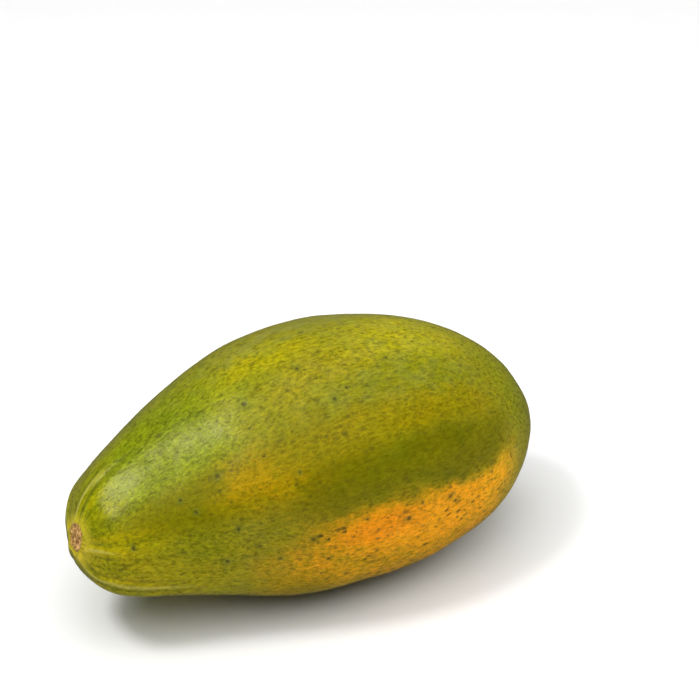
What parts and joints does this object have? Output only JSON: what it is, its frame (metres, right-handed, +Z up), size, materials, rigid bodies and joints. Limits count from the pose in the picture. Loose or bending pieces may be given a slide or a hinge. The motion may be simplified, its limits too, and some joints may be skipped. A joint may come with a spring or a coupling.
{
  "type": "papaya",
  "caption": "Whole ripening papaya lying on its side: a long, softly lobed fruit with a corky stem scar at its narrow end and a dimple at its blossom end.",
  "frame": {"origin": "middle of the fruit's outline seen from above, on the surface that it lies on", "axes": "+Z up, +X along the fruit from the stem end towards the blossom end, +Y across it"},
  "size_m": [0.2206, 0.12, 0.1142],
  "materials": {
    "skin": "satin"
  },
  "bodies": {
    "root": {"fruit": "skin"}
  },
  "joints": []
}
